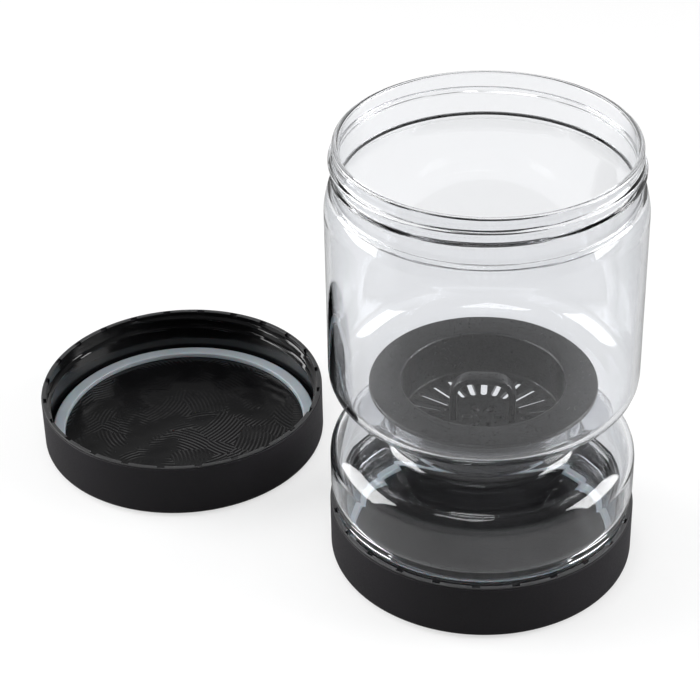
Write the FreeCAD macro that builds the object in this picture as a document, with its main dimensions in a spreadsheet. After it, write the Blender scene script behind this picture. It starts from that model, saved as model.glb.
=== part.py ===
import FreeCAD, Part
import os
import Sketcher

Vector = FreeCAD.Vector

# An hourglass keeper: one clear jar with a neck at each end and a waist in the middle, a strainer that
# hangs in the waist and lifts out through the mouth, and two identical two-wall screw lids.
# The jar stands on the base lid. The top lid lies beside it, mouth up.
# Millimetres. The origin is on the jar's axis, at the underside of the base lid. +Z up, +Y to the back.

doc = FreeCAD.newDocument("keeper")

# Driving dimensions: name, value, meaning
DIMENSIONS = [
    ("body_radius", 52.0, "outside radius of both chambers"),
    ("jar_length", 154.4, "rim to rim"),
    ("jar_wall", 2.0, "wall of the jar"),
    ("neck_step", 3.0, "from the chambers' outside in to the necks' outside"),
    ("neck_length", 15.4, "rim to the shoulder's ledge"),
    ("ledge_width", 1.6, "flat part of the shoulder"),
    ("ledge_drop", 0.5, "fall of the ledge over its width"),
    ("shoulder_length", 7.0, "ledge to the straight side"),
    ("deck_height", 49.5, "top of the lower chamber, above the table"),
    ("deck_chamfer", 7.0, "outer corner of the lower chamber"),
    ("floor_height", 66.4, "underside of the upper chamber, above the table"),
    ("floor_round", 10.0, "outer corner of the upper chamber"),
    ("waist_radius", 32.5, "outside radius of the waist"),
    ("thread_room", 1.65, "room between neck and liner for the screw thread"),
    ("lid_reach", 0.5, "how far the lid's rim passes the root of the neck"),
    ("lid_chamfer", 2.0, "outer corner of a lid"),
    ("shell_panel", 1.6, "end wall of the outer shell"),
    ("shell_wall", 1.05, "side wall of the outer shell"),
    ("shell_play", 0.05, "gap between shell and liner"),
    ("liner_panel", 1.6, "end wall of the liner"),
    ("liner_wall", 0.75, "side wall of the liner"),
    ("liner_sink", 0.3, "liner's rim below the shell's rim"),
    ("notch_count", 24.0, "notches round the liner's rim"),
    ("notch_width", 2.8, "width of a notch"),
    ("notch_depth", 1.3, "depth of a notch below the rim"),
    ("seal_reach", 2.4, "how far the flat seal reaches inside the jar's rim"),
    ("seal_margin", 0.45, "from the flat seal out to the liner's side wall"),
    ("seal_thick", 2.0, "thickness of the flat seal"),
    ("seal_play", 0.05, "gap under the flat seal"),
    ("rim_play", 0.1, "gap between a rim and its seal"),
    ("flange_margin", 3.5, "flat floor of the upper chamber left round the strainer's flange"),
    ("flange_thick", 1.6, "thickness of the flange"),
    ("seat_play", 0.1, "gap under the flange"),
    ("cup_wall", 1.5, "wall of the strainer's cup"),
    ("cup_floor", 1.6, "thickness of the slotted floor"),
    ("cup_depth", 16.0, "flange's underside to the floor's underside"),
    ("slot_width", 2.2, "width of a drain slot"),
    ("slot_margin", 1.8, "floor left between the slots and the loop or the cup's wall"),
    ("hub_radius", 3.5, "middle of the floor, inside the inner slots"),
    ("inner_slots", 6.0, "drain slots inside the loop's legs"),
    ("outer_slots", 24.0, "drain slots outside the loop's legs"),
    ("loop_span", 20.0, "width of the lifting loop, leg to leg"),
    ("loop_height", 17.0, "floor to the top of the loop"),
    ("loop_thick", 2.4, "thickness of the loop's strap"),
    ("loop_depth", 5.0, "width of the loop's strap"),
    ("loop_round", 8.0, "outer corners of the loop"),
    ("sleeve_thick", 1.2, "thickness of the sleeve round the cup"),
    ("sleeve_drop", 1.0, "from the flange's underside to the sleeve's top"),
    ("sleeve_taper", 2.5, "height of the sleeve's tapered lower end"),
    ("sleeve_lead", 0.6, "how far that end draws in"),
    ("sleeve_play", 0.05, "gap between cup and sleeve"),
    ("waist_play", 0.35, "gap between the sleeve and the waist"),
    ("rest_gap", 23.3, "gap between the two lids on the table"),
    ("rest_turn", 27.4, "degrees from the left towards the back, where the top lid lies"),
]

sheet = doc.addObject("Spreadsheet::Sheet", "dims")
for row, (name, value, meaning) in enumerate(DIMENSIONS, start=1):
    sheet.set("A%d" % row, name)
    sheet.set("B%d" % row, str(value))
    sheet.set("C%d" % row, meaning)
    sheet.setAlias("B%d" % row, name)

# Sizes that follow from the ones above: name, formula, meaning
DERIVED = [
    ("neck_radius", "=body_radius - neck_step", "outside radius of both necks"),
    ("neck_bore", "=neck_radius - jar_wall", "inside radius of both necks"),
    ("body_bore", "=body_radius - jar_wall", "inside radius of both chambers"),
    ("waist_bore", "=waist_radius - jar_wall", "inside radius of the waist"),
    ("liner_base", "=shell_panel + shell_play", "underside of the liner's end wall"),
    ("liner_top", "=liner_base + liner_panel", "inner face of the lid's end wall"),
    ("seal_base", "=liner_top + seal_play", "underside of the flat seal"),
    ("jar_base", "=seal_base + seal_thick + rim_play", "lower rim of the jar"),
    ("jar_top", "=jar_base + jar_length", "upper rim of the jar"),
    ("lower_ledge", "=jar_base + neck_length", "root of the lower neck"),
    ("upper_ledge", "=jar_top - neck_length", "root of the upper neck"),
    ("deck_inside", "=deck_height - jar_wall", "inside of the lower chamber's top"),
    ("bevel_inside", "=deck_chamfer - jar_wall * tan(22.5)", "the same corner inside"),
    ("floor_inside", "=floor_height + jar_wall", "inside of the upper chamber's floor"),
    ("lid_height", "=lower_ledge + lid_reach", "outside height of a lid"),
    ("cap_bore", "=neck_radius + thread_room", "inside radius of the liner"),
    ("liner_radius", "=cap_bore + liner_wall", "outside radius of the liner"),
    ("liner_rim", "=lid_height - liner_sink", "rim of the liner"),
    ("shell_bore", "=liner_radius + shell_play", "inside radius of the shell"),
    ("lid_radius", "=shell_bore + shell_wall", "outside radius of a lid"),
    ("seal_inner", "=neck_bore - seal_reach", "inside radius of the flat seal"),
    ("seal_outer", "=cap_bore - seal_margin", "outside radius of the flat seal"),
    ("seat_height", "=floor_inside + seat_play", "underside of the strainer's flange"),
    ("cup_top", "=seat_height + flange_thick", "top of the flange"),
    ("flange_radius", "=body_radius - floor_round - flange_margin", "outside radius of the flange"),
    ("sleeve_radius", "=waist_bore - waist_play", "outside radius of the sleeve"),
    ("sleeve_bore", "=sleeve_radius - sleeve_thick", "inside radius of the sleeve"),
    ("sleeve_top", "=seat_height - sleeve_drop", "top of the sleeve"),
    ("cup_radius", "=sleeve_bore - sleeve_play", "outside radius of the cup"),
    ("cup_bore", "=cup_radius - cup_wall", "inside radius of the cup"),
    ("cup_base", "=seat_height - cup_depth", "underside of the slotted floor"),
    ("cup_inside", "=cup_base + cup_floor", "top of the slotted floor"),
    ("loop_top", "=cup_inside + loop_height", "top of the loop"),
    ("loop_outer", "=(loop_span + loop_thick) / 2", "outside of a leg, from the axis"),
    ("loop_inner", "=(loop_span - loop_thick) / 2", "inside of a leg, from the axis"),
    ("rest_reach", "=lid_radius * 2 + rest_gap", "axis of one lid to the axis of the other"),
    ("rest_x", "=0 - rest_reach * cos(rest_turn)", "axis of the top lid, to the left"),
    ("rest_y", "=rest_reach * sin(rest_turn)", "the same, towards the back"),
]
first = len(DIMENSIONS) + 1
for row, (name, formula, meaning) in enumerate(DERIVED, start=first):
    sheet.set("A%d" % row, name)
    sheet.set("B%d" % row, formula)
    sheet.set("C%d" % row, meaning)
    sheet.setAlias("B%d" % row, name)
doc.recompute()
ALIASES = {entry[0] for entry in DIMENSIONS + DERIVED}


def in_sheet(formula):
    """The same formula, read from outside the sheet."""
    words = []
    word = ""
    for letter in formula + " ":
        if letter.isalnum() or letter in "_.":
            word += letter
            continue
        words.append("dims." + word if word in ALIASES else word)
        words.append(letter)
        word = ""
    return "".join(words).strip()


def size(formula):
    """The value of a formula of the sheet's sizes."""
    return float(sheet.evalExpression(formula))


def origin_feature(body, role):
    return next(item for item in body.Origin.OriginFeatures if item.Role == role)


def outline(body, name, corners, role="XZ_Plane", height="0"):
    """A closed outline of straight lines on one of the body's own planes, raised by a formula.
    Each corner is two formulas: radius or X, and height or Y."""
    sketch = body.newObject("Sketcher::SketchObject", name + "_outline")
    sketch.AttachmentSupport = [(origin_feature(body, role), "")]
    sketch.MapMode = "FlatFace"
    sketch.setExpression("AttachmentOffset.Base.z", in_sheet(height))
    places = [Vector(size(across), size(along), 0) for across, along in corners]
    count = len(places)
    for index in range(count):
        sketch.addGeometry(Part.LineSegment(places[index], places[(index + 1) % count]), False)
    for index in range(count):
        sketch.addConstraint(Sketcher.Constraint("Coincident", index, 2, (index + 1) % count, 1))
    for index, (across, along) in enumerate(corners):
        for kind, formula, value in (
            ("DistanceX", across, places[index].x),
            ("DistanceY", along, places[index].y),
        ):
            number = sketch.addConstraint(Sketcher.Constraint(kind, -1, 1, index, 1, value))
            sketch.setExpression("Constraints[%d]" % number, in_sheet(formula))
    sketch.Visibility = False
    return sketch


def bend(across, along, radius, angles):
    """Corners on an arc of an outline, at angles in degrees: formulas of its middle and its radius."""
    corners = []
    for angle in angles:
        corners.append((
            "%s + %s * cos(%d)" % (across, radius, angle),
            "%s + %s * sin(%d)" % (along, radius, angle),
        ))
    return corners


def new_body(name):
    body = doc.addObject("PartDesign::Body", name)
    body.Label = name
    return body


def revolve(body, name, corners):
    """A solid of revolution about the body's axis."""
    sketch = outline(body, name, corners)
    feature = body.newObject("PartDesign::Revolution", name)
    feature.Profile = sketch
    feature.ReferenceAxis = (sketch, ["V_Axis"])
    feature.Angle = 360
    doc.recompute()
    return feature


def pocket_ring(body, name, start, end, width, top, depth, count):
    """A ring of radial pockets, cut down from a height: formulas of their ends, width, top and depth."""
    sketch = outline(body, name, [
        (start, "0 - %s / 2" % width),
        (end, "0 - %s / 2" % width),
        (end, "%s / 2" % width),
        (start, "%s / 2" % width),
    ], "XY_Plane", top)
    pocket = body.newObject("PartDesign::Pocket", name + "_first")
    pocket.Profile = sketch
    pocket.setExpression("Length", in_sheet(depth))
    doc.recompute()
    ring = body.newObject("PartDesign::PolarPattern", name)
    ring.Originals = [pocket]
    ring.Axis = (origin_feature(body, "Z_Axis"), [""])
    ring.Angle = 360
    ring.setExpression("Occurrences", in_sheet(count))
    body.Tip = ring
    doc.recompute()
    return ring


# Jar: one outline, up the outside from the lower rim to the upper rim and down the inside
def make_jar():
    body = new_body("jar_body")
    floor_bend = ("body_radius - floor_round", "floor_height + floor_round")
    outside = [
        ("neck_radius", "jar_base"),
        ("neck_radius", "lower_ledge"),
        ("neck_radius + ledge_width", "lower_ledge + ledge_drop"),
        ("body_radius", "lower_ledge + shoulder_length"),
        ("body_radius", "deck_height - deck_chamfer"),
        ("body_radius - deck_chamfer", "deck_height"),
        ("waist_radius", "deck_height"),
        ("waist_radius", "floor_height"),
        *bend(*floor_bend, "floor_round", (-90, -45, 0)),
        ("body_radius", "upper_ledge - shoulder_length"),
        ("neck_radius + ledge_width", "upper_ledge - ledge_drop"),
        ("neck_radius", "upper_ledge"),
        ("neck_radius", "jar_top"),
    ]
    inside = [
        ("neck_bore", "jar_top"),
        ("neck_bore", "upper_ledge - jar_wall / 2"),
        ("body_bore", "upper_ledge - shoulder_length"),
        *bend(*floor_bend, "(floor_round - jar_wall)", (0, -90)),
        ("waist_bore", "floor_inside"),
        ("waist_bore", "deck_inside"),
        ("body_bore - bevel_inside", "deck_inside"),
        ("body_bore", "deck_inside - bevel_inside"),
        ("body_bore", "lower_ledge + shoulder_length"),
        ("neck_bore", "lower_ledge + jar_wall / 2"),
        ("neck_bore", "jar_base"),
    ]
    revolve(body, "jar_form", outside + inside)
    return body


# Lid: a plain outer shell, a notched liner pushed into it and a flat seal on the liner's floor
def make_lid_shell(name):
    body = new_body(name)
    revolve(body, name + "_form", [
        ("0", "0"),
        ("lid_radius - lid_chamfer", "0"),
        ("lid_radius", "lid_chamfer"),
        ("lid_radius", "lid_height"),
        ("shell_bore", "lid_height"),
        ("shell_bore", "shell_panel"),
        ("0", "shell_panel"),
    ])
    return body


def make_lid_liner(name):
    body = new_body(name)
    revolve(body, name + "_form", [
        ("0", "liner_base"),
        ("liner_radius", "liner_base"),
        ("liner_radius", "liner_rim"),
        ("cap_bore", "liner_rim"),
        ("cap_bore", "liner_top"),
        ("0", "liner_top"),
    ])
    # Each notch is cut past both faces of the side wall
    pocket_ring(body, name + "_notches", "cap_bore - liner_wall", "liner_radius + liner_wall",
                "notch_width", "liner_rim", "notch_depth", "notch_count")
    return body


def make_lid_seal(name):
    body = new_body(name)
    revolve(body, name + "_form", [
        ("seal_inner", "seal_base"),
        ("seal_outer", "seal_base"),
        ("seal_outer", "seal_base + seal_thick"),
        ("seal_inner", "seal_base + seal_thick"),
    ])
    return body


def make_lid(place):
    return [
        make_lid_shell(place + "_lid_shell"),
        make_lid_liner(place + "_lid_liner"),
        make_lid_seal(place + "_lid_seal"),
    ]


# Strainer: a flanged cup with a slotted floor and a loop to lift it by, in a soft sleeve
def make_strainer():
    body = new_body("strainer")
    revolve(body, "cup", [
        ("0", "cup_base"),
        ("cup_radius", "cup_base"),
        ("cup_radius", "seat_height"),
        ("flange_radius", "seat_height"),
        ("flange_radius", "cup_top"),
        ("cup_bore", "cup_top"),
        ("cup_bore", "cup_inside"),
        ("0", "cup_inside"),
    ])
    make_loop(body)
    pocket_ring(body, "inner_drains", "hub_radius", "loop_inner - slot_margin",
                "slot_width", "cup_inside", "cup_floor", "inner_slots")
    pocket_ring(body, "outer_drains", "loop_outer + slot_margin", "cup_bore - slot_margin",
                "slot_width", "cup_inside", "cup_floor", "outer_slots")
    return body


def make_loop(body):
    """The strap that stands on the floor, rooted in it by half of the floor's thickness."""
    root = "cup_base + cup_floor / 2"
    strap = body.newObject("PartDesign::Pad", "loop")
    strap.Profile = outline(body, "loop", [
        ("0 - loop_outer", root),
        ("0 - loop_outer", "loop_top"),
        ("loop_outer", "loop_top"),
        ("loop_outer", root),
        ("loop_inner", root),
        ("loop_inner", "loop_top - loop_thick"),
        ("0 - loop_inner", "loop_top - loop_thick"),
        ("0 - loop_inner", root),
    ])
    strap.Midplane = True
    strap.setExpression("Length", "dims.loop_depth")
    doc.recompute()
    # Both corners of the strap bend about the same middles, outside and inside
    form = strap
    for name, across, along, radius in (
        ("outer", "loop_outer", "loop_top", "loop_round"),
        ("inner", "loop_inner", "loop_top - loop_thick", "loop_round - loop_thick"),
    ):
        edges = []
        for number, edge in enumerate(form.Shape.Edges, start=1):
            place = edge.CenterOfMass
            aside = abs(abs(place.x) - size(across)) < 0.01
            if aside and abs(place.z - size(along)) < 0.01 and abs(place.y) < 0.01:
                edges.append("Edge%d" % number)
        corner = body.newObject("PartDesign::Fillet", "loop_%s_corners" % name)
        corner.Base = (form, edges)
        corner.setExpression("Radius", in_sheet(radius))
        doc.recompute()
        form = corner


def make_sleeve():
    body = new_body("strainer_sleeve")
    revolve(body, "sleeve_form", [
        ("sleeve_bore", "cup_base"),
        ("sleeve_radius - sleeve_lead", "cup_base"),
        ("sleeve_radius", "cup_base + sleeve_taper"),
        ("sleeve_radius", "sleeve_top"),
        ("sleeve_bore", "sleeve_top"),
    ])
    return body


top_lid = make_lid("top")
for piece in top_lid:
    piece.setExpression("Placement.Base.x", "dims.rest_x")
    piece.setExpression("Placement.Base.y", "dims.rest_y")
parts = [make_jar(), make_strainer(), make_sleeve()] + make_lid("base") + top_lid
doc.recompute()

# Nothing is written unless every feature and every piece is sound
for item in doc.Objects:
    if "Invalid" in item.State or "Error" in item.State:
        raise RuntimeError("%s failed: %s" % (item.Label, item.State))
for piece in parts:
    shape = piece.Shape
    if shape.isNull() or not shape.isValid() or len(shape.Solids) != 1:
        raise RuntimeError("%s is not one sound solid" % piece.Label)

os.makedirs("parts", exist_ok=True)
for piece in parts:
    piece.Shape.exportStep("parts/%s.step" % piece.Label)
    print(piece.Label, "%.1f mm3" % piece.Shape.Volume)
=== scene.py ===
import math

import bpy
from mathutils import Matrix, Vector


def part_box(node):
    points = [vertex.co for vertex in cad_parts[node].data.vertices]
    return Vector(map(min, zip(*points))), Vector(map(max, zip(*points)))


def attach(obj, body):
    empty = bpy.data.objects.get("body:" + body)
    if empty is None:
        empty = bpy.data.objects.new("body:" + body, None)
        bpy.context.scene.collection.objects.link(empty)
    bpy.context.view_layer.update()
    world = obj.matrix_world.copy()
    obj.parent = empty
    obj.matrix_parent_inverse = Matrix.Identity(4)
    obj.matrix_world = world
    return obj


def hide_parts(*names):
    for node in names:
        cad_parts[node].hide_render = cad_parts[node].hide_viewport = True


# The looks of an hourglass keeper: a clear glass jar on its black base lid, the strainer in the jar's
# waist, and the top lid beside it, mouth up. Sizes are millimetres until an operator gets them.
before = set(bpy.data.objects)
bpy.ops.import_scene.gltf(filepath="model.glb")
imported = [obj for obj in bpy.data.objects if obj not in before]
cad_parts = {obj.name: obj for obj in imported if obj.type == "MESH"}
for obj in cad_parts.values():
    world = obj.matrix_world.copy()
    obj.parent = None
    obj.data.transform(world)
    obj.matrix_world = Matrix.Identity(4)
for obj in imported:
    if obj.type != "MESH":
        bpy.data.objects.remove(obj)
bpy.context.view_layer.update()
bpy.ops.object.select_all(action="DESELECT")

MM = 0.001
TURN = 2 * math.pi

# How finely an arc of an outline and each turned piece are divided
ARC_STEPS = 7
JAR_STEPS = 288
LID_STEPS = 256
LINER_STEPS = 240
STRAINER_STEPS = 144
# Points nearer than this are one point, in metres
WELD = 1e-6


def corners_mm(name):
    low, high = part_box(name)
    return low / MM, high / MM


# Sizes read from the frame
jar_low, jar_high = corners_mm("jar_body")
shell_high = corners_mm("base_lid_shell")[1]
liner_low, liner_high = corners_mm("base_lid_liner")
seal_low, seal_high = corners_mm("base_lid_seal")
sleeve_low, sleeve_high = corners_mm("strainer_sleeve")
strainer_low, strainer_high = corners_mm("strainer")
off_low, off_high = corners_mm("top_lid_shell")
OFF_LID = (off_low + off_high) / 2
BODY_RADIUS = jar_high.x
JAR_BASE = jar_low.z
JAR_TOP = jar_high.z
LID_RADIUS = shell_high.x
LID_HEIGHT = shell_high.z
LINER_RADIUS = liner_high.x
LINER_BASE = liner_low.z
SEAL_RADIUS = seal_high.x
SEAL_FLOOR = seal_low.z
SEAL_TOP = seal_high.z
SLEEVE_RADIUS = sleeve_high.x
SLEEVE_BASE = sleeve_low.z
SLEEVE_TOP = sleeve_high.z
FLANGE_RADIUS = strainer_high.x
STRAINER_BASE = strainer_low.z
LOOP_TOP = strainer_high.z

# Sizes of the jar that its solid has too
JAR_WALL = 2.0
NECK_STEP = 3.0
NECK_RADIUS = BODY_RADIUS - NECK_STEP
NECK_LENGTH = 15.4
LEDGE_WIDTH = 1.6
LEDGE_DROP = 0.5
SHOULDER_LENGTH = 7.0
DECK_HEIGHT = 49.5
DECK_FALL = 1.4
DECK_ROUND = 8.5
FLOOR_HEIGHT = 66.4
FLOOR_ROUND = 10.0
WAIST_RADIUS = 32.5

# Rounds of the jar's corners, on the outside of its wall where no side is named
RIM_ROUND = 0.9
NECK_ROOT_ROUND = 0.7
LEDGE_ROUND = 2.4
LEDGE_ROUND_INSIDE = 0.6
UPPER_SIDE_ROUND = 20
UPPER_SIDE_ROUND_INSIDE = 14
LOWER_SIDE_ROUND = 16
LOWER_SIDE_ROUND_INSIDE = 12
WAIST_ROUND = 3.5

# The screw: one right-handed ridge on each neck and one in each liner, all starting on the left. The
# ends of a ridge sink into the wall over the run-out, a share of a turn. A row is the height of the
# faces that a ridge is raised from.
PITCH = 4.2
RIDGE_DEPTH = 1.3
RIDGE_TURNS = 1.5
RIDGE_TOP = 3.95
RIDGE_START = 0.5
RIDGE_RUN_OUT = 0.07
RIDGE_FOOT = 2.4
RIDGE_CREST = 0.8
RIDGE_ROW = 0.3
CAP_RIDGE_TURNS = 1.85
CAP_RIDGE_GAP = 1.79
CAP_RIDGE_FOOT = 2.0
CAP_RIDGE_CREST = 0.6
CAP_RIDGE_ROW = 0.35

# Sizes of the lids and of the strainer. The piece gap is left between pieces that are pushed together.
PIECE_GAP = 0.05
LINER_WALL = 0.75
LIP_REACH = 0.8
LIP_THICK = 0.6
SEAL_WIDTH = 4.4
SEAL_INSET = 0.8
NOTCHES = 24
NOTCH_WIDTH = 2.8
NOTCH_DEPTH = 1.3
SLEEVE_THICK = 1.2
SLEEVE_TAPER = 2.5
SLEEVE_LEAD = 0.6
GROOVE_DEPTH = 0.4
CUP_WALL = 1.5
CUP_FLOOR = 1.6
CUP_DEPTH = 16.0
FLANGE_THICK = 1.6
SLOT_WIDTH = 2.2
SLOT_MARGIN = 1.8
HUB_RADIUS = 3.5
INNER_SLOTS = 6
OUTER_SLOTS = 24
LOOP_SPAN = 20.0
LOOP_THICK = 2.4
LOOP_DEPTH = 5.0
LOOP_ROUND = 8.0


# Modelling
def rounded(corners, closed=True):
    """Points of an outline whose corners (across, up, radius) are rounded by arcs."""
    points = []
    count = len(corners)
    for index, (across, up, radius) in enumerate(corners):
        here = Vector((across, up))
        at_end = not closed and index in (0, count - 1)
        if radius <= 0 or at_end:
            points.append(here)
            continue
        before = Vector(corners[index - 1][:2]) - here
        after = Vector(corners[(index + 1) % count][:2]) - here
        before.normalize()
        after.normalize()
        half = before.angle(after) / 2
        reach = radius / math.tan(half)
        middle = here + (before + after).normalized() * (radius / math.sin(half))
        first = here + before * reach - middle
        swing = first.angle_signed(here + after * reach - middle)
        for step in range(ARC_STEPS + 1):
            spoke = first.copy()
            spoke.rotate(Matrix.Rotation(-swing * step / ARC_STEPS, 2))
            points.append(middle + spoke)
    return points


def fill_in(points, low, high, spacing):
    """Adds points to the upright stretches between two heights, so that a ridge can be raised there."""
    filled = []
    straight = 0.1
    for index, point in enumerate(points):
        filled.append(point)
        following = points[(index + 1) % len(points)]
        upright = abs(point.x - following.x) < straight and abs(point.y - following.y) > spacing * 2
        if upright and min(point.y, following.y) >= low and max(point.y, following.y) <= high:
            steps = round(abs(following.y - point.y) / spacing)
            filled += [point.lerp(following, step / steps) for step in range(1, steps)]
    return filled


def lathe(name, points, steps, closed=True):
    """Extrudes one point along an outline and spins it about the jar's axis.
    An outline that starts and ends on the axis isn't closed."""
    bpy.ops.mesh.primitive_plane_add(size=MM, location=(0, 0, 0))
    piece = bpy.context.object
    piece.name = name
    bpy.ops.object.mode_set(mode="EDIT")
    bpy.ops.mesh.merge(type="CENTER")
    start = points[0]
    bpy.ops.transform.translate(value=(start.x * MM, 0, start.y * MM))
    for point in points[1:] + ([points[0]] if closed else []):
        step = point - start
        bpy.ops.mesh.extrude_region_move(TRANSFORM_OT_translate={"value": (step.x * MM, 0, step.y * MM)})
        start = point
    bpy.ops.mesh.select_all(action="SELECT")
    bpy.ops.mesh.remove_doubles(threshold=WELD)
    bpy.ops.mesh.spin(steps=steps, angle=TURN, center=(0, 0, 0), axis=(0, 0, 1))
    bpy.ops.mesh.select_all(action="SELECT")
    bpy.ops.mesh.remove_doubles(threshold=WELD)
    bpy.ops.mesh.normals_make_consistent(inside=False)
    bpy.ops.object.mode_set(mode="OBJECT")
    bpy.ops.object.shade_smooth()
    return piece


def only(piece):
    bpy.ops.object.select_all(action="DESELECT")
    piece.select_set(True)
    bpy.context.view_layer.objects.active = piece


def apply_to(piece, kind, **settings):
    """Adds a modifier with its settings and applies it."""
    only(piece)
    modifier = piece.modifiers.new(kind.lower(), kind)
    for key, value in settings.items():
        setattr(modifier, key, value)
    bpy.ops.object.modifier_apply(modifier=modifier.name)


def combine(piece, other, operation):
    """Cuts another mesh out of a piece, or unites it with the piece."""
    apply_to(piece, "BOOLEAN", operation=operation, solver="EXACT", object=other)
    bpy.data.objects.remove(other)


def ridge_share(place, radius, start, turns, foot, crest):
    """The share of a ridge's full height at a point of the wall: none off the ridge, one on its crest."""
    off_wall = 0.02
    if abs(math.hypot(place.x, place.y) - radius) > off_wall:
        return 0
    around = (math.atan2(place.y, place.x) / TURN - RIDGE_START) % 1
    last = math.floor(turns - around)
    lap = min(max(round((place.z - start) / PITCH - around), 0), last)
    turn = around + lap
    away = abs(place.z - start - turn * PITCH)
    flank = min(max((away - crest / 2) / (foot / 2 - crest / 2), 0), 1)
    end = min(turn / RIDGE_RUN_OUT, (turns - turn) / RIDGE_RUN_OUT, 1)
    return (0.5 + 0.5 * math.cos(math.pi * flank)) * math.sin(max(end, 0) * math.pi / 2)


def raise_ridge(piece, radius, start, turns, foot, crest):
    """Raises a helical ridge from a straight wall, along the wall's normals."""
    ridge = piece.vertex_groups.new(name="ridge")
    for vertex in piece.data.vertices:
        share = ridge_share(vertex.co / MM, radius, start, turns, foot, crest)
        if share > 0:
            ridge.add([vertex.index], share, "REPLACE")
    apply_to(piece, "DISPLACE", vertex_group=ridge.name, strength=RIDGE_DEPTH * MM, mid_level=0)
    piece.vertex_groups.clear()


def block(width, depth, height, place, corners=0.0, segments=5):
    """A box about a place, with its upright edges rounded."""
    bpy.ops.mesh.primitive_cube_add(size=1, location=[value * MM for value in place])
    box = bpy.context.object
    box.scale = (width * MM, depth * MM, height * MM)
    bpy.ops.object.transform_apply(location=True, rotation=True, scale=True)
    if corners:
        bpy.ops.object.mode_set(mode="EDIT")
        bpy.ops.mesh.select_mode(type="EDGE")
        bpy.ops.mesh.select_all(action="DESELECT")
        bpy.ops.object.mode_set(mode="OBJECT")
        for edge in box.data.edges:
            ends = [box.data.vertices[index].co for index in edge.vertices]
            edge.select = abs(ends[0].z - ends[1].z) > height * MM / 2
        bpy.ops.object.mode_set(mode="EDIT")
        bpy.ops.mesh.bevel(offset=corners * MM, segments=segments)
        bpy.ops.mesh.select_mode(type="VERT")
        bpy.ops.object.mode_set(mode="OBJECT")
    return box


def ring_of(first, count):
    """Copies a mesh round the jar's axis and joins the copies."""
    copies = [first]
    for number in range(1, count):
        only(first)
        bpy.ops.object.duplicate(linked=False)
        bpy.ops.transform.rotate(value=TURN * number / count, orient_axis="Z", center_override=(0, 0, 0))
        copies.append(bpy.context.object)
    for copy in copies:
        copy.select_set(True)
    bpy.context.view_layer.objects.active = first
    bpy.ops.object.join()
    bpy.ops.object.transform_apply(location=True, rotation=True, scale=True)
    return first


def copy_to(piece, name, place):
    """A copy with its own mesh, moved to a place that is kept in the mesh."""
    only(piece)
    bpy.ops.object.duplicate(linked=False)
    copy = bpy.context.object
    copy.name = name
    bpy.ops.object.mode_set(mode="EDIT")
    bpy.ops.mesh.select_all(action="SELECT")
    bpy.ops.transform.translate(value=(place.x * MM, place.y * MM, 0))
    bpy.ops.object.mode_set(mode="OBJECT")
    return copy


# Materials
def linear(hex_colour):
    """An sRGB hex colour as linear red, green, blue and alpha."""
    values = []
    for start in (0, 2, 4):
        channel = int(hex_colour[start:start + 2], 16) / 255
        values.append(channel / 12.92 if channel <= 0.04045 else ((channel + 0.055) / 1.055) ** 2.4)
    return (*values, 1.0)


def new_material(name, **values):
    """A material whose shader has the given values, with its node tree and the shader."""
    material = bpy.data.materials.new(name)
    material.use_nodes = True
    tree = material.node_tree
    shader = next(item for item in tree.nodes if item.type == "BSDF_PRINCIPLED")
    for key, value in values.items():
        shader.inputs[key.replace("_", " ")].default_value = value
    return material, tree, shader


def node(tree, kind, values, **settings):
    """Adds a node, sets its properties, and sets or links its inputs, which go by name or number."""
    added = tree.nodes.new("ShaderNode" + kind)
    for key, value in settings.items():
        setattr(added, key, value)
    for key, value in values.items():
        if isinstance(value, bpy.types.NodeSocket):
            tree.links.new(value, added.inputs[key])
        else:
            added.inputs[key].default_value = value
    return added


def object_place(tree, middle=None):
    """Object coordinates, counted from the middle of a lid where one is given."""
    place = node(tree, "TexCoord", {}).outputs["Object"]
    if middle is None:
        return place
    from_middle = (-middle.x * MM, -middle.y * MM, 0)
    return node(tree, "Mapping", {"Vector": place, "Location": from_middle}).outputs[0]


def noise(tree, place, grain, detail=2.0):
    """Noise whose features are about one grain across, in millimetres."""
    return node(tree, "TexNoise", {"Vector": place, "Scale": 1 / (grain * MM), "Detail": detail}).outputs[0]


def spread(tree, value, low, high, start, end):
    """A value between two levels, turned to the range from start to end."""
    levels = {"Value": value, 1: low, 2: high, 3: start, 4: end}
    return node(tree, "MapRange", levels).outputs[0]


def tinted(tree, shader, share, first, second):
    """Mixes two sRGB colours by a share and gives them to the shader."""
    mix = node(tree, "Mix", {0: share, 6: linear(first), 7: linear(second)}, data_type="RGBA")
    tree.links.new(mix.outputs[2], shader.inputs["Base Color"])


def bumped(tree, shader, height, strength, depth):
    """Bumps the shader's surface by a height, depth millimetres at most."""
    bump = node(tree, "Bump", {"Height": height, "Strength": strength, "Distance": depth * MM})
    tree.links.new(bump.outputs[0], shader.inputs["Normal"])


# Blown soda-lime glass, fire-polished: clear, greyer where the eye looks along its wall, in slow waves
def blown_glass():
    material, tree, shader = new_material(
        "blown_clear_glass", Roughness=0.0, IOR=1.5, Transmission_Weight=1.0)
    facing = node(tree, "LayerWeight", {"Blend": 0.5}).outputs["Facing"]
    along = spread(tree, facing, low=0.45, high=1.0, start=0.0, end=1.0)
    tinted(tree, shader, along, "f1f2f4", "bcbfc2")
    waves = noise(tree, object_place(tree), grain=24, detail=1.0)
    bumped(tree, shader, waves, strength=0.1, depth=0.6)
    return material


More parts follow.
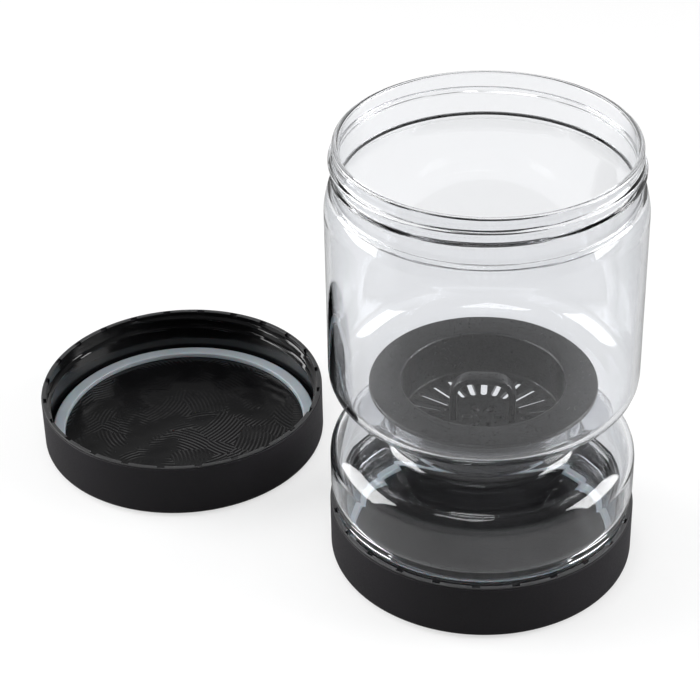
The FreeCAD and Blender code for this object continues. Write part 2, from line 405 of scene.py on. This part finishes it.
# Moulded ABS with a fine spark-eroded skin: matte black with a faint violet cast, no clear highlight
def matte_abs():
    material, tree, shader = new_material("moulded_matte_abs", IOR=1.53, Specular_IOR_Level=0.25)
    place = object_place(tree)
    tinted(tree, shader, noise(tree, place, grain=30, detail=3.0), "171518", "1d1b1f")
    skin = noise(tree, place, grain=0.5)
    rough = spread(tree, skin, low=0.3, high=0.7, start=0.5, end=0.62)
    tree.links.new(rough, shader.inputs["Roughness"])
    bumped(tree, shader, skin, strength=0.25, depth=0.05)
    return material


# Injection-moulded polypropylene, polished: deep black gloss, with patches of fine curved marks on its
# floor and a satin rim, whose greyer colour is painted sheen
def polished_liner(name, middle):
    material, tree, shader = new_material(name, IOR=1.49)
    place = object_place(tree, middle)
    patch = 13 * MM
    arc_radius = patch * 2.5
    mark_spacing = 1.5 * MM
    mark_share = 0.55
    pool_share = 5.0
    rim_roughness = 0.5
    fade = 0.1
    cells = node(tree, "TexVoronoi", {"Vector": place, "Scale": 1 / patch})
    arm = node(tree, "VectorMath", {0: place, 1: cells.outputs["Position"]}, operation="SUBTRACT")
    swing = node(tree, "VectorMath", {0: cells.outputs["Color"], 1: (0.5, 0.5, 0.5)}, operation="SUBTRACT")
    way = node(tree, "VectorMath", {0: swing.outputs[0]}, operation="NORMALIZE")
    away = node(tree, "VectorMath", {0: way.outputs[0], "Scale": arc_radius}, operation="SCALE")
    spoke = node(tree, "VectorMath", {0: arm.outputs[0], 1: away.outputs[0]}, operation="SUBTRACT")
    flat = node(tree, "VectorMath", {0: spoke.outputs[0], 1: (1, 1, 0)}, operation="MULTIPLY")
    reach = node(tree, "VectorMath", {0: flat.outputs[0]}, operation="LENGTH").outputs["Value"]
    phase = node(tree, "Math", {0: reach, 1: TURN / mark_spacing}, operation="MULTIPLY").outputs[0]
    lines = node(tree, "Math", {0: phase}, operation="SINE").outputs[0]
    cloud = noise(tree, place, grain=12, detail=3.0)
    marked = spread(tree, cloud, low=0.44, high=0.56, start=0.0, end=1.0)
    up = node(tree, "SeparateXYZ", {0: place}).outputs["Z"]
    on_floor = spread(tree, up, SEAL_FLOOR * MM, (SEAL_FLOOR + 1) * MM, mark_share, 0.0)
    there = node(tree, "Math", {0: marked, 1: on_floor}, operation="MULTIPLY").outputs[0]
    marks = node(tree, "Math", {0: lines, 1: there}, operation="MULTIPLY").outputs[0]
    pools = noise(tree, place, grain=22)
    height = node(tree, "Math", {0: pools, 1: pool_share, 2: marks}, operation="MULTIPLY_ADD").outputs[0]
    bumped(tree, shader, height, strength=1.0, depth=0.08)
    polish = spread(tree, cloud, low=0.35, high=0.65, start=0.1, end=0.2)
    # Painted sheen: the rim's top is coloured a lighter grey for the light that its satin face catches; the
    # same band is rougher too
    rim_satin_and_painted_sheen = spread(tree, up, (LID_HEIGHT - LIP_THICK) * MM, (LID_HEIGHT - fade) * MM, 0.0, 1.0)
    tinted(tree, shader, rim_satin_and_painted_sheen, "080809", "2a2a2b")
    satin = node(tree, "Math", {0: rim_satin_and_painted_sheen, 1: rim_roughness}, operation="MULTIPLY").outputs[0]
    rough = node(tree, "Math", {0: polish, 1: satin}, operation="MAXIMUM").outputs[0]
    tree.links.new(rough, shader.inputs["Roughness"])
    return material


# Moulded silicone without pigment: milky and a little blue, light soaks into it
def clear_silicone():
    material, tree, shader = new_material(
        "moulded_clear_silicone", Roughness=0.3, IOR=1.41, Transmission_Weight=0.3,
        Subsurface_Weight=0.3, Subsurface_Scale=1.5 * MM)
    place = object_place(tree)
    tinted(tree, shader, noise(tree, place, grain=9, detail=3.0), "98a1a8", "b6bec4")
    skin = noise(tree, place, grain=1.2, detail=1.0)
    bumped(tree, shader, skin, strength=0.2, depth=0.05)
    return material


# Moulded polypropylene: black with the soft satin of its mould
def satin_polypropylene():
    material, tree, shader = new_material(
        "moulded_satin_polypropylene", Base_Color=linear("0c0c0d"), IOR=1.49)
    skin = noise(tree, object_place(tree), grain=0.8)
    rough = spread(tree, skin, low=0.3, high=0.7, start=0.26, end=0.38)
    tree.links.new(rough, shader.inputs["Roughness"])
    bumped(tree, shader, skin, strength=0.2, depth=0.04)
    return material


# Moulded black silicone: dull and a little dusty, softer than the plastic beside it
def black_silicone():
    material, tree, shader = new_material("moulded_black_silicone", IOR=1.41, Sheen_Weight=0.1)
    dust = noise(tree, object_place(tree), grain=6, detail=4.0)
    tinted(tree, shader, dust, "0e0e0f", "161617")
    rough = spread(tree, dust, low=0.3, high=0.7, start=0.4, end=0.55)
    tree.links.new(rough, shader.inputs["Roughness"])
    return material


# Jar
def make_jar():
    """One wall all round: up the outside from the lower rim, and back down the inside."""
    lower = JAR_BASE + NECK_LENGTH
    upper = JAR_TOP - NECK_LENGTH
    neck = NECK_RADIUS
    side = BODY_RADIUS
    wall = JAR_WALL
    ledge = neck + LEDGE_WIDTH
    rim = RIM_ROUND
    floor = FLOOR_HEIGHT
    deck_edge = DECK_HEIGHT - DECK_FALL
    outside = [
        (neck, JAR_TOP, rim),
        (neck, upper, NECK_ROOT_ROUND),
        (ledge, upper - LEDGE_DROP, LEDGE_ROUND),
        (side, upper - SHOULDER_LENGTH, UPPER_SIDE_ROUND),
        (side, floor, FLOOR_ROUND),
        (WAIST_RADIUS, floor, WAIST_ROUND),
        (WAIST_RADIUS, DECK_HEIGHT, WAIST_ROUND),
        (side, deck_edge, DECK_ROUND),
        (side, lower + SHOULDER_LENGTH, LOWER_SIDE_ROUND),
        (ledge, lower + LEDGE_DROP, LEDGE_ROUND),
        (neck, lower, NECK_ROOT_ROUND),
        (neck, JAR_BASE, rim),
    ]
    inside = [
        (neck - wall, JAR_BASE, rim),
        (neck - wall, lower + wall, NECK_ROOT_ROUND + wall),
        (ledge - wall, lower + LEDGE_DROP + wall, LEDGE_ROUND_INSIDE),
        (side - wall, lower + SHOULDER_LENGTH, LOWER_SIDE_ROUND_INSIDE),
        (side - wall, deck_edge - wall, DECK_ROUND - wall),
        (WAIST_RADIUS - wall, DECK_HEIGHT - wall, WAIST_ROUND + wall),
        (WAIST_RADIUS - wall, floor + wall, WAIST_ROUND + wall),
        (side - wall, floor + wall, FLOOR_ROUND - wall),
        (side - wall, upper - SHOULDER_LENGTH, UPPER_SIDE_ROUND_INSIDE),
        (ledge - wall, upper - LEDGE_DROP - wall, LEDGE_ROUND_INSIDE),
        (neck - wall, upper - wall, NECK_ROOT_ROUND + wall),
        (neck - wall, JAR_TOP, rim),
    ]
    points = rounded(outside + inside)
    points = fill_in(points, JAR_BASE, lower, RIDGE_ROW)
    points = fill_in(points, upper, JAR_TOP, RIDGE_ROW)
    jar = lathe("glass_jar", points, JAR_STEPS)
    for start in (JAR_BASE + RIDGE_TOP, JAR_TOP - RIDGE_TOP - RIDGE_TURNS * PITCH):
        raise_ridge(jar, neck, start, RIDGE_TURNS, RIDGE_FOOT, RIDGE_CREST)
    return jar


# Lid
def make_shell():
    bore = LINER_RADIUS + PIECE_GAP
    floor = LINER_BASE - PIECE_GAP
    top = LID_HEIGHT - LIP_THICK - PIECE_GAP
    foot_round = 3
    rim_round = 0.3
    bore_round = 0.1
    return lathe("lid_shell", rounded([
        (0, 0, 0),
        (LID_RADIUS, 0, foot_round),
        (LID_RADIUS, top, rim_round),
        (bore, top, bore_round),
        (bore, floor, 0),
        (0, floor, 0),
    ], closed=False), LID_STEPS, closed=False)


def make_liner():
    """Pushed into the shell, with a notched lip that lies over the shell's rim."""
    bore = LINER_RADIUS - LINER_WALL
    floor = SEAL_FLOOR - PIECE_GAP
    lip = LINER_RADIUS + LIP_REACH
    under_lip = LID_HEIGHT - LIP_THICK
    foot_round = 1
    under_round = 0.1
    lip_round = 0.2
    floor_round = 0.6
    points = rounded([
        (0, LINER_BASE, 0),
        (LINER_RADIUS, LINER_BASE, foot_round),
        (LINER_RADIUS, under_lip, 0),
        (lip, under_lip, under_round),
        (lip, LID_HEIGHT, lip_round),
        (bore, LID_HEIGHT, lip_round),
        (bore, floor, floor_round),
        (0, floor, 0),
    ], closed=False)
    points = fill_in(points, floor, LID_HEIGHT, CAP_RIDGE_ROW)
    liner = lathe("lid_liner", points, LINER_STEPS, closed=False)
    start = JAR_BASE + RIDGE_TOP + CAP_RIDGE_GAP
    raise_ridge(liner, bore, start, CAP_RIDGE_TURNS, CAP_RIDGE_FOOT, CAP_RIDGE_CREST)
    across = LINER_WALL * 2
    place = (LINER_RADIUS - LINER_WALL / 2, 0, LID_HEIGHT)
    notches = ring_of(block(across, NOTCH_WIDTH, NOTCH_DEPTH * 2, place), NOTCHES)
    combine(liner, notches, "DIFFERENCE")
    only(liner)
    crease = math.radians(40)
    bpy.ops.object.shade_smooth_by_angle(angle=crease)
    return liner


def make_seal():
    outer = SEAL_RADIUS - SEAL_INSET
    inner = outer - SEAL_WIDTH
    foot_round = 0.3
    top_round = 0.5
    return lathe("lid_seal", rounded([
        (inner, SEAL_FLOOR, foot_round),
        (outer, SEAL_FLOOR, foot_round),
        (outer, SEAL_TOP, top_round),
        (inner, SEAL_TOP, top_round),
    ]), LID_STEPS)


# Strainer and its sleeve
def make_strainer():
    cup = SLEEVE_RADIUS - SLEEVE_THICK - PIECE_GAP
    inner = cup - CUP_WALL
    base = STRAINER_BASE
    floor = base + CUP_FLOOR
    seat = base + CUP_DEPTH
    top = seat + FLANGE_THICK
    cup_round = 0.4
    flange_under_round = 0.5
    flange_top_round = 0.7
    inner_round = 0.8
    strainer = lathe("strainer_cup", rounded([
        (0, base, 0),
        (cup, base, cup_round),
        (cup, seat, cup_round),
        (FLANGE_RADIUS, seat, flange_under_round),
        (FLANGE_RADIUS, top, flange_top_round),
        (inner, top, inner_round),
        (inner, floor, inner_round),
        (0, floor, 0),
    ], closed=False), STRAINER_STEPS, closed=False)
    leg = (LOOP_SPAN + LOOP_THICK) / 2
    rings = [
        (HUB_RADIUS, LOOP_SPAN / 2 - LOOP_THICK / 2 - SLOT_MARGIN, INNER_SLOTS),
        (leg + SLOT_MARGIN, inner - SLOT_MARGIN, OUTER_SLOTS),
    ]
    slot_round = SLOT_WIDTH * 0.45
    for start, end, count in rings:
        place = ((start + end) / 2, 0, base + CUP_FLOOR / 2)
        slot = block(end - start, SLOT_WIDTH, CUP_FLOOR * 2, place, slot_round)
        combine(strainer, ring_of(slot, count), "DIFFERENCE")
    combine(strainer, make_loop(base + CUP_FLOOR / 2), "UNION")
    only(strainer)
    crease = math.radians(35)
    bpy.ops.object.shade_smooth_by_angle(angle=crease)
    return strainer


def make_loop(root):
    """The strap, lying on its side while its corners are rounded, then turned upright."""
    rise = LOOP_TOP - root
    outer_width = LOOP_SPAN + LOOP_THICK
    inner_width = LOOP_SPAN - LOOP_THICK
    edge_round = 0.5
    strap = block(outer_width, rise * 2, LOOP_DEPTH, (0, 0, 0), LOOP_ROUND, segments=8)
    gap_height = (rise - LOOP_THICK) * 2
    gap_round = LOOP_ROUND - LOOP_THICK
    gap = block(inner_width, gap_height, LOOP_DEPTH * 2, (0, 0, 0), gap_round, segments=8)
    combine(strap, gap, "DIFFERENCE")
    lower_half = block(outer_width * 2, rise * 2, LOOP_DEPTH * 2, (0, -rise, 0))
    combine(strap, lower_half, "DIFFERENCE")
    apply_to(strap, "BEVEL", width=edge_round * MM, segments=3, limit_method="ANGLE")
    strap.rotation_euler.x = math.pi / 2
    strap.location.z = root * MM
    only(strap)
    bpy.ops.object.transform_apply(location=True, rotation=True, scale=True)
    return strap


def make_sleeve():
    """Tapered at its lower end, with two shallow grooves that leave three lips."""
    outer = SLEEVE_RADIUS
    inner = outer - SLEEVE_THICK
    low = SLEEVE_BASE
    high = SLEEVE_TOP
    shoulder = low + SLEEVE_TAPER
    bands = 5
    lip = (high - low - SLEEVE_TAPER) / bands
    groove = outer - GROOVE_DEPTH
    small_round = 0.2
    lead_round = 0.3
    shoulder_round = 0.8
    top_round = 0.4
    corners = [
        (inner, low, small_round),
        (outer - SLEEVE_LEAD, low, lead_round),
        (outer, shoulder, shoulder_round),
    ]
    for number in (1, 3):
        start = shoulder + lip * number
        corners += [
            (outer, start, small_round),
            (groove, start, small_round),
            (groove, start + lip, small_round),
            (outer, start + lip, small_round),
        ]
    corners += [(outer, high, top_round), (inner, high, small_round)]
    return lathe("silicone_sleeve", rounded(corners), STRAINER_STEPS)


def dress(piece, body, replaced, material):
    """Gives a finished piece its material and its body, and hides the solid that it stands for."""
    piece.data.materials.clear()
    piece.data.materials.append(material)
    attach(piece, body)
    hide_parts(replaced)


jar = make_jar()
dress(jar, "jar", "jar_body", blown_glass())
# Clear glass hardly dims the lamps, so it casts no shadow of its own
jar.visible_shadow = False

dress(make_strainer(), "strainer_set", "strainer", satin_polypropylene())
dress(make_sleeve(), "strainer_set", "strainer_sleeve", black_silicone())

shell = make_shell()
liner = make_liner()
seal = make_seal()
off_shell = copy_to(shell, "lid_shell_off", OFF_LID)
off_liner = copy_to(liner, "lid_liner_off", OFF_LID)
off_seal = copy_to(seal, "lid_seal_off", OFF_LID)
abs_skin = matte_abs()
silicone = clear_silicone()
dress(shell, "base_lid", "base_lid_shell", abs_skin)
dress(liner, "base_lid", "base_lid_liner", polished_liner("polished_liner", None))
dress(seal, "base_seal", "base_lid_seal", silicone)
dress(off_shell, "top_lid", "top_lid_shell", abs_skin)
off_polish = polished_liner("polished_liner_off", OFF_LID)
dress(off_liner, "top_lid", "top_lid_liner", off_polish)
dress(off_seal, "top_lid", "top_lid_seal", silicone)


# Stage
def make_floor():
    """A pale sheet that reads white, also through the glass, and keeps a soft shadow of the keeper."""
    sheet_radius = 0.62
    glow_strength = 0.62
    bpy.ops.mesh.primitive_circle_add(
        vertices=96, radius=sheet_radius, fill_type="NGON", location=(0, 0, 0))
    floor = bpy.context.object
    floor.name = "floor"
    material, tree, shader = new_material(
        "pale_floor", Base_Color=linear("8e8e8e"), Roughness=0.9, Specular_IOR_Level=0.0,
        Emission_Color=(1, 1, 1, 1))
    rays = node(tree, "LightPath", {}).outputs
    straight = node(tree, "Math", {0: rays["Is Camera Ray"], 1: rays["Is Transmission Ray"]},
                    operation="MAXIMUM").outputs[0]
    glow = node(tree, "Math", {0: straight, 1: glow_strength}, operation="MULTIPLY")
    tree.links.new(glow.outputs[0], shader.inputs["Emission Strength"])
    floor.data.materials.append(material)


def make_world():
    """White to the camera and bright through the glass up to a dim ceiling. Gloss mirrors a sweep that is
    bright behind the keeper and dim in front of it, over a dim ground."""
    world = bpy.data.worlds.new("studio")
    bpy.context.scene.world = world
    world.use_nodes = True
    tree = world.node_tree
    tree.nodes.clear()
    way = node(tree, "TexCoord", {}).outputs["Generated"]
    parts = node(tree, "SeparateXYZ", {0: way}).outputs
    behind = spread(tree, parts["Y"], low=-0.5, high=0.3, start=0.12, end=1.0)
    over_ground = spread(tree, parts["Z"], low=-0.12, high=0.02, start=0.22, end=1.0)
    under_ceiling = spread(tree, parts["Z"], low=0.25, high=0.6, start=1.0, end=0.14)
    band = node(tree, "Math", {0: over_ground, 1: under_ceiling}, operation="MULTIPLY").outputs[0]
    sweep = node(tree, "Math", {0: band, 1: behind}, operation="MULTIPLY").outputs[0]
    strength = 0.35
    rays = node(tree, "LightPath", {}).outputs
    for kind, level in (("Glossy", sweep), ("Transmission", under_ceiling), ("Camera", 1.0)):
        seen = {0: rays["Is %s Ray" % kind], 2: strength, 3: level}
        strength = node(tree, "Mix", seen).outputs[0]
    sky = node(tree, "Background", {"Color": (1, 1, 1, 1), "Strength": strength})
    out = node(tree, "OutputWorld", {})
    tree.links.new(sky.outputs[0], out.inputs["Surface"])


def soft_box(name, place, target, width, watts, mirrored=True):
    """A square lamp that faces a point. It isn't seen itself, though gloss may mirror it."""
    bpy.ops.object.light_add(type="AREA", location=place)
    lamp = bpy.context.object
    lamp.name = name
    lamp.data.shape = "SQUARE"
    lamp.data.size = width
    lamp.data.energy = watts
    lamp.visible_camera = False
    lamp.visible_glossy = mirrored
    lamp.rotation_euler = (Vector(target) - Vector(place)).to_track_quat("-Z", "Y").to_euler()


def make_camera():
    """The photograph's camera, fitted to the outlines of the jar and the lids: angles in radians."""
    focal_px = 2180.5
    frame_px = 700
    yaw = -0.0951
    pitch = 0.5905
    roll = -0.0219
    place = (0.0129, -0.6040, 0.4858)
    ahead = Vector((math.sin(yaw) * math.cos(pitch), math.cos(yaw) * math.cos(pitch), -math.sin(pitch)))
    right = Vector((math.cos(yaw), -math.sin(yaw), 0))
    up = right.cross(ahead)
    level = right * math.cos(roll) + up * math.sin(roll)
    upright = up * math.cos(roll) - right * math.sin(roll)
    data = bpy.data.cameras.new("camera")
    data.sensor_width = 36
    data.lens = data.sensor_width * focal_px / frame_px
    camera = bpy.data.objects.new("camera", data)
    bpy.context.scene.collection.objects.link(camera)
    turn = Matrix((level, upright, -ahead)).transposed().to_4x4()
    camera.matrix_world = Matrix.Translation(place) @ turn
    bpy.context.scene.camera = camera


make_floor()
make_world()
soft_box("left_box", place=(-0.95, 0.1, 0.45), target=(-0.02, 0, 0.05), width=0.8, watts=15)
soft_box("right_box", place=(0.95, 0.1, 0.45), target=(0, 0, 0.05), width=0.7, watts=13)
soft_box("top_box", place=(-0.1, -0.15, 1.3), target=(0, 0, 0), width=0.5, watts=6, mirrored=False)
make_camera()
bpy.context.scene.view_settings.view_transform = "Standard"
